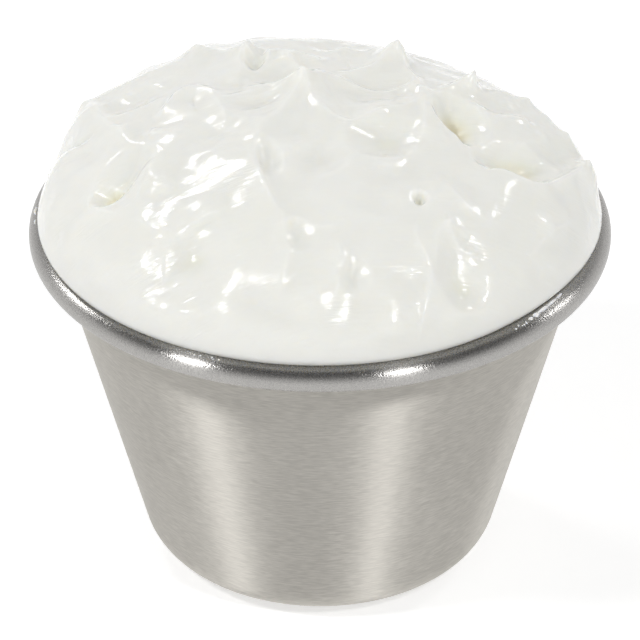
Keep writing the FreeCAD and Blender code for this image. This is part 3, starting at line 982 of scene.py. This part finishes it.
@dataclass(frozen=True)
class CreamFinish:
    """Wet, dense white cream that lets a little light through."""

    name: str = "wet_cream"
    light: Colour = (0.955, 0.955, 0.875, 1.0)
    dim: Colour = (0.94, 0.94, 0.855, 1.0)
    # painted shade: a darker, warmer colour for the hollows, standing in for their shade and the
    # warm light bounced inside them
    painted_hollow_shade: Colour = (0.84, 0.76, 0.55, 1.0)
    roughness: Span = (0.05, 0.14)
    glow_depth: float = 1.2
    grain: float = 0.006
    stroke: float = 0.05

    ARCH_MIDDLE = 9.0
    ARCH_BEND = 13.0
    MARKS_ALONG = 420.0
    MARKS_ACROSS = 1900.0
    GLOW_SPREAD = (1.0, 0.96, 0.88)
    REFRACTION = 1.45
    HOLLOW_DULLNESS = 0.30
    TONE = Mottle(120.0)
    WETNESS = Mottle(700.0, 4.0, 2.2)
    GRAIN = Mottle(3200.0, 2.0)
    MARKS = Mottle(1.0, 4.0)

    def material(self) -> bpy.types.Material:
        """Makes the material.

        Returns:
            The finished material.
        """
        material, nodes = new_material(self.name)
        place = nodes.add("ShaderNodeTexCoord").outputs["Object"]
        skin = nodes.add("ShaderNodeBsdfPrincipled")
        tone = self.TONE.place(nodes, place)
        open_tone = nodes.blend(tone, self.dim, self.light)
        hollow = nodes.add("ShaderNodeAttribute", attribute_name=HOLLOW).outputs["Fac"]
        # painted hollow shade: the base colour darkens and warms as the hollow measure rises
        nodes.feed(skin.inputs["Base Color"], nodes.blend(hollow, open_tone, self.painted_hollow_shade))
        gloss = nodes.between(self.WETNESS.place(nodes, place), *self.roughness)
        gloss = nodes.maths("MULTIPLY_ADD", hollow, self.HOLLOW_DULLNESS, gloss)
        nodes.feed(skin.inputs["Roughness"], gloss)
        skin.inputs["Subsurface Weight"].default_value = 1.0
        skin.inputs["Subsurface Radius"].default_value = self.GLOW_SPREAD
        skin.inputs["Subsurface Scale"].default_value = self.glow_depth * MM
        skin.inputs["IOR"].default_value = self.REFRACTION
        height = nodes.maths("MULTIPLY", self.GRAIN.place(nodes, place), self.grain * MM)
        marks = self.MARKS.place(nodes, self._course(nodes, place))
        height = nodes.maths("MULTIPLY_ADD", marks, self.stroke * MM, height)
        slant = nodes.add("ShaderNodeLayerWeight")
        bump = nodes.add("ShaderNodeBump")
        bump.inputs["Distance"].default_value = 1.0
        facing = nodes.maths("SUBTRACT", 1.0, slant.outputs["Facing"])
        nodes.feed(bump.inputs["Strength"], facing)
        nodes.feed(bump.inputs["Height"], height)
        nodes.feed(skin.inputs["Normal"], bump.outputs["Normal"])
        surface = nodes.add("ShaderNodeOutputMaterial")
        nodes.feed(surface.inputs["Surface"], skin.outputs["BSDF"])
        return material

    def _course(self, nodes: Nodes, place: bpy.types.NodeSocket) -> bpy.types.NodeSocket:
        """Coordinates for the long marks of the spoon, which arch over the heap.

        Args:
            nodes: The material's nodes.
            place: The object's own coordinates.

        Returns:
            The coordinates, where a unit is one mark.
        """
        parts = nodes.add("ShaderNodeSeparateXYZ")
        nodes.feed(parts.inputs[0], place)
        aside = nodes.maths("SUBTRACT", parts.outputs["X"], self.ARCH_MIDDLE * MM)
        fall = nodes.maths("MULTIPLY", nodes.maths("MULTIPLY", aside, aside), self.ARCH_BEND)
        depth = nodes.maths("ADD", parts.outputs["Y"], parts.outputs["Z"])
        depth = nodes.maths("ADD", depth, fall)
        marks = nodes.add("ShaderNodeCombineXYZ")
        nodes.feed(marks.inputs["X"], nodes.maths("MULTIPLY", aside, self.MARKS_ALONG))
        nodes.feed(marks.inputs["Z"], nodes.maths("MULTIPLY", depth, self.MARKS_ACROSS))
        return marks.outputs["Vector"]


@dataclass(frozen=True)
class BrushedSteelFinish:
    """Stainless sheet brushed round the wall, with a grainy tumbled rim."""

    name: str = "brushed_steel"
    brush_dark: Colour = (0.522, 0.503, 0.465, 1.0)
    brush_light: Colour = (0.698, 0.675, 0.628, 1.0)
    grain_dark: Colour = (0.345, 0.337, 0.327, 1.0)
    grain_light: Colour = (0.485, 0.473, 0.457, 1.0)
    wall_roughness: Span = (0.54, 0.68)
    rim_roughness: Span = (0.23, 0.31)
    brush_depth: float = 0.004
    grain_depth: float = 0.006
    rim_band: float = 2.7

    LINE_STRETCH = 0.11
    TONE_SHARE = 0.3
    BRUSH_TURN = 0.25
    RIM_BLEND = 0.4
    LINES = Mottle(6800.0, 4.0, 3.0)
    GRAIN = Mottle(5200.0, 3.0, 2.0)
    TONE = Mottle(60.0, 4.0)

    def material(self) -> bpy.types.Material:
        """Makes the material.

        Returns:
            The finished material.
        """
        material, nodes = new_material(self.name)
        place = nodes.add("ShaderNodeTexCoord").outputs["Object"]
        metal = nodes.add("ShaderNodeBsdfPrincipled")
        metal.inputs["Metallic"].default_value = 1.0
        metal.inputs["Anisotropic"].default_value = 1.0
        metal.inputs["Anisotropic Rotation"].default_value = self.BRUSH_TURN
        tangent = nodes.add("ShaderNodeTangent", direction_type="RADIAL", axis="Z")
        nodes.feed(metal.inputs["Tangent"], tangent.outputs[0])
        rim = self._rim_share(nodes, place)
        lines = self._lines(nodes, place)
        grain = self.GRAIN.place(nodes, place)
        patchy = nodes.maths("MULTIPLY", self.TONE.place(nodes, place), self.TONE_SHARE)
        share = nodes.maths("MULTIPLY_ADD", lines, 1.0 - self.TONE_SHARE, patchy)
        sheet = nodes.blend(share, self.brush_dark, self.brush_light)
        tumbled = nodes.blend(grain, self.grain_dark, self.grain_light)
        nodes.feed(metal.inputs["Base Color"], nodes.blend(rim, sheet, tumbled))
        wall = nodes.between(lines, *self.wall_roughness)
        edge = nodes.between(grain, *self.rim_roughness)
        nodes.feed(metal.inputs["Roughness"], nodes.part_way(rim, wall, edge))
        brushed = nodes.maths("MULTIPLY", lines, self.brush_depth * MM)
        grainy = nodes.maths("MULTIPLY", grain, self.grain_depth * MM)
        bump = nodes.add("ShaderNodeBump")
        bump.inputs["Distance"].default_value = 1.0
        nodes.feed(bump.inputs["Height"], nodes.part_way(rim, brushed, grainy))
        nodes.feed(metal.inputs["Normal"], bump.outputs["Normal"])
        surface = nodes.add("ShaderNodeOutputMaterial")
        nodes.feed(surface.inputs["Surface"], metal.outputs["BSDF"])
        return material

    def _rim_share(self, nodes: Nodes, place: bpy.types.NodeSocket) -> bpy.types.NodeSocket:
        """Tells the rolled rim from the wall.

        Args:
            nodes: The material's nodes.
            place: The object's own coordinates.

        Returns:
            1 on the rolled rim and 0 below it.
        """
        parts = nodes.add("ShaderNodeSeparateXYZ")
        nodes.feed(parts.inputs[0], place)
        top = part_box("sauce_cup")[1].z
        share = nodes.add("ShaderNodeMapRange")
        nodes.feed(share.inputs["Value"], parts.outputs["Z"])
        share.inputs["From Min"].default_value = top - self.rim_band * MM
        share.inputs["From Max"].default_value = top - (self.rim_band - self.RIM_BLEND) * MM
        return share.outputs[0]

    def _lines(self, nodes: Nodes, place: bpy.types.NodeSocket) -> bpy.types.NodeSocket:
        """Fine brushed lines that run round the wall.

        Args:
            nodes: The material's nodes.
            place: The object's own coordinates.

        Returns:
            The lines' share, from 0 to 1.
        """
        stretch = nodes.add("ShaderNodeMapping")
        stretch.inputs["Scale"].default_value = (self.LINE_STRETCH, self.LINE_STRETCH, 1.0)
        nodes.feed(stretch.inputs["Vector"], place)
        return self.LINES.place(nodes, stretch.outputs[0])


@dataclass
class SauceCup:
    """The pressed steel cup, as packed."""

    finish: BrushedSteelFinish = field(default_factory=BrushedSteelFinish)

    def dress(self) -> bpy.types.Object:
        """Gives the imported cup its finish.

        Returns:
            The cup's object.
        """
        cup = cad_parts["sauce_cup"]
        cup.data.materials.clear()
        cup.data.materials.append(self.finish.material())
        return cup


@dataclass(frozen=True)
class Dab:
    """A small flat drop on the rolled rim, by its bearing and lean in degrees."""

    bearing: float
    lean: float
    length: float
    width: float
    thickness: float


@dataclass
class RimDabs:
    """The smear and the droplets of cream left on the rolled rim."""

    finish: CreamFinish
    roll_size: float = 2.6
    smear: tuple[Dab, ...] = (
        Dab(51.5, 104, 2.6, 0.46, 0.30), Dab(54.6, 106, 2.4, 0.42, 0.28),
        Dab(57.6, 108, 1.8, 0.34, 0.24), Dab(49.0, 100, 1.1, 0.80, 0.30),
        Dab(47.2, 97, 0.8, 0.55, 0.24), Dab(-93.0, 60, 1.9, 0.45, 0.22),
        Dab(-88.5, 66, 1.1, 0.35, 0.20),
    )
    droplet_spans: tuple[Span, ...] = ((-29.0, -16.0), (42.0, 50.0))
    droplets_each: int = 9
    droplet_size: Span = (0.14, 0.34)
    droplet_lean: Span = (84.0, 100.0)
    droplet_height: float = 0.45
    seed: int = 11
    high: Vector = field(init=False)

    RINGS = 5
    SPOKES = 20
    SUNK = 0.06
    ROUGH_EDGE = ((3, 0.14), (5, 0.10), (8, 0.06))  # waves round the edge, and their size

    def __post_init__(self) -> None:
        """Takes the rim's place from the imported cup."""
        self.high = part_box("sauce_cup")[1] / MM

    def build(self) -> bpy.types.Object:
        """Makes every dab as one piece.

        Returns:
            The piece.
        """
        chance = np.random.default_rng(self.seed)
        dabs = list(self.smear)
        for first, last in self.droplet_spans:
            for _ in range(self.droplets_each):
                size = chance.uniform(*self.droplet_size)
                bearing = chance.uniform(first, last)
                lean = chance.uniform(*self.droplet_lean)
                dabs.append(Dab(bearing, lean, size, size, self.droplet_height * size))
        points, faces = [], []
        for dab in dabs:
            self._add(dab, chance, points, faces)
        mesh = bpy.data.meshes.new("rim_dabs")
        mesh.from_pydata([Vector(point) * MM for point in points], [], faces)
        mesh.polygons.foreach_set("use_smooth", [True] * len(faces))
        mesh.materials.append(self.finish.material())
        piece = show("rim_dabs", mesh)
        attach(piece, "root")
        log.info("rim_dabs: %d dabs, %d faces", len(dabs), len(faces))
        return piece

    def _add(self, dab: Dab, chance: np.random.Generator, points: list[Point],
             faces: list[tuple[int, ...]]) -> None:
        """Adds one closed dab.

        Args:
            dab: The dab.
            chance: Where its rough edge comes from.
            points: Every point so far, which grows.
            faces: Every face so far, which grows.
        """
        phases = chance.uniform(0, math.tau, len(self.ROUGH_EDGE))
        start = len(points)
        points.append(self._on_roll(dab, 0.0, 0.0, dab.thickness))
        for ring in range(1, self.RINGS + 1):
            share = ring / self.RINGS
            for spoke in range(self.SPOKES):
                angle = math.tau * spoke / self.SPOKES
                edge = 1 + sum(size * math.sin(waves * angle + phase)
                               for (waves, size), phase in zip(self.ROUGH_EDGE, phases))
                height = dab.thickness * math.sqrt(1 - share**2) - self.SUNK * share
                along = 0.5 * dab.length * share * edge * math.cos(angle)
                across = 0.5 * dab.width * share * edge * math.sin(angle)
                points.append(self._on_roll(dab, along, across, height))
        below = len(points)
        points.append(self._on_roll(dab, 0.0, 0.0, -2 * self.SUNK))
        for spoke in range(self.SPOKES):
            after = (spoke + 1) % self.SPOKES
            faces.append((start, start + 1 + spoke, start + 1 + after))
            for ring in range(1, self.RINGS):
                inner = start + 1 + (ring - 1) * self.SPOKES
                outer = inner + self.SPOKES
                faces.append((inner + spoke, outer + spoke, outer + after, inner + after))
            last = start + 1 + (self.RINGS - 1) * self.SPOKES
            faces.append((last + after, last + spoke, below))

    def _on_roll(self, dab: Dab, along: float, across: float, height: float) -> Point:
        """A point over the rolled rim.

        Args:
            dab: The dab that it belongs to.
            along: How far round the rim it lies from the dab's middle.
            across: How far over the roll.
            height: How far above the steel.

        Returns:
            The point in millimetres.
        """
        high, tube = self.high, 0.5 * self.roll_size
        bearing = math.radians(dab.bearing) + along / high.x
        lean = math.radians(dab.lean) + across / tube
        radius = high.x - tube + (tube + height) * math.cos(lean)
        level = high.z - tube + (tube + height) * math.sin(lean)
        return radius * math.sin(bearing), -radius * math.cos(bearing), level


@dataclass(frozen=True)
class Lamp:
    """A square soft lamp that looks at the cup."""

    name: str
    bearing: float
    height: float
    away: float
    size: float
    radiance: float

    def hang(self, target: Vector) -> bpy.types.Object:
        """Makes the lamp.

        Args:
            target: The point in metres that it looks at.

        Returns:
            The lamp's object.
        """
        light = bpy.data.lights.new(self.name, "AREA")
        light.shape = "SQUARE"
        light.size = self.size
        light.energy = self.radiance * math.pi * self.size**2
        lamp = show(self.name, light)
        aim(lamp, target, self.bearing, self.height, self.away)
        return lamp


@dataclass
class Studio:
    """The pale floor, the lamps and the camera."""

    lamps: tuple[Lamp, ...] = (
        Lamp("left_lamp", -61, 50, 0.8, 0.10, 59.5),
        Lamp("right_lamp", 37, 48, 0.8, 0.10, 49.0),
        Lamp("back_left_lamp", -146, 43, 0.8, 0.09, 26.0),
        Lamp("back_right_lamp", 125, 42, 0.8, 0.09, 21.0),
    )
    overhead_grey: float = 0.12
    horizon_grey: float = 0.92
    aim_height: float = 0.0282
    camera_height: float = 32.51
    camera_away: float = 0.5821
    lens: float = 285.3
    floor_radius: float = 4.0
    floor_white: float = 0.75
    floor_glow: float = 0.5

    NEAREST = 0.01
    PALE_UP_TO, DARK_FROM = 0.2, 0.85
    FLOOR_SIDES = 96
    FLOOR_DROP = 0.00002

    def set_up(self) -> None:
        """Makes everything round the cup."""
        target = Vector((0, 0, self.aim_height))
        for lamp in self.lamps:
            lamp.hang(target)
        self._camera(target)
        self._world()
        self._floor()
        bpy.context.scene.view_settings.view_transform = "Standard"

    def _camera(self, target: Vector) -> None:
        """Places the camera and makes it the scene's own.

        Args:
            target: The point in metres that it looks at.
        """
        data = bpy.data.cameras.new("camera")
        data.lens = self.lens
        data.clip_start = self.NEAREST
        camera = show("camera", data)
        aim(camera, target, 0.0, self.camera_height, self.camera_away)
        bpy.context.scene.camera = camera

    def _world(self) -> None:
        """A plain grey room, darker overhead."""
        world = bpy.data.worlds.new("room")
        world.use_nodes = True
        nodes = Nodes(world.node_tree)
        parts = nodes.add("ShaderNodeSeparateXYZ")
        nodes.feed(parts.inputs[0], nodes.add("ShaderNodeTexCoord").outputs["Generated"])
        shade = nodes.add("ShaderNodeMapRange", interpolation_type="SMOOTHSTEP")
        nodes.feed(shade.inputs["Value"], parts.outputs["Z"])
        shade.inputs["From Min"].default_value = self.PALE_UP_TO
        shade.inputs["From Max"].default_value = self.DARK_FROM
        shade.inputs["To Min"].default_value = self.horizon_grey
        shade.inputs["To Max"].default_value = self.overhead_grey
        grey = nodes.add("ShaderNodeBackground")
        nodes.feed(grey.inputs["Color"], shade.outputs[0])
        out = nodes.add("ShaderNodeOutputWorld")
        nodes.feed(out.inputs["Surface"], grey.outputs[0])
        bpy.context.scene.world = world

    def _floor(self) -> None:
        """A round floor, white to the eye and in the steel, which keeps the shadow."""
        bpy.ops.mesh.primitive_circle_add(
            vertices=self.FLOOR_SIDES, radius=self.floor_radius, fill_type="NGON"
        )
        floor = bpy.context.object
        floor.name = "floor"
        floor.location.z = -self.FLOOR_DROP
        material, nodes = new_material("floor_white")
        plain = nodes.add("ShaderNodeBsdfDiffuse")
        plain.inputs["Color"].default_value = (self.floor_white,) * 3 + (1.0,)
        glow = nodes.add("ShaderNodeEmission")
        glow.inputs["Color"].default_value = (1.0, 1.0, 1.0, 1.0)
        path = nodes.add("ShaderNodeLightPath")
        seen = nodes.maths("ADD", path.outputs["Is Camera Ray"], path.outputs["Is Glossy Ray"])
        seen = nodes.maths("ADD", seen, path.outputs["Is Transmission Ray"])
        nodes.feed(glow.inputs["Strength"], nodes.maths("MULTIPLY", seen, self.floor_glow))
        both = nodes.add("ShaderNodeAddShader")
        nodes.feed(both.inputs[0], plain.outputs[0])
        nodes.feed(both.inputs[1], glow.outputs[0])
        out = nodes.add("ShaderNodeOutputMaterial")
        nodes.feed(out.inputs["Surface"], both.outputs[0])
        floor.data.materials.append(material)


def main() -> None:
    """Builds the cup, the cream and the studio, in that order."""
    logging.basicConfig(level=logging.INFO, format="%(name)s: %(message)s")
    cup = SauceCup().dress()
    log.info("%s has %d faces", cup.name, len(cup.data.polygons))
    cream = CreamHeap().build()
    cream.data.materials.append(CreamFinish().material())
    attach(cream, "root")
    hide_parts("sour_cream")
    log.info("%s has %d faces", cream.name, len(cream.data.polygons))
    RimDabs(CreamFinish("thin_cream", THIN_CREAM, THIN_CREAM, glow_depth=THIN_GLOW)).build()
    Studio().set_up()


if __name__ == "__main__":
    main()
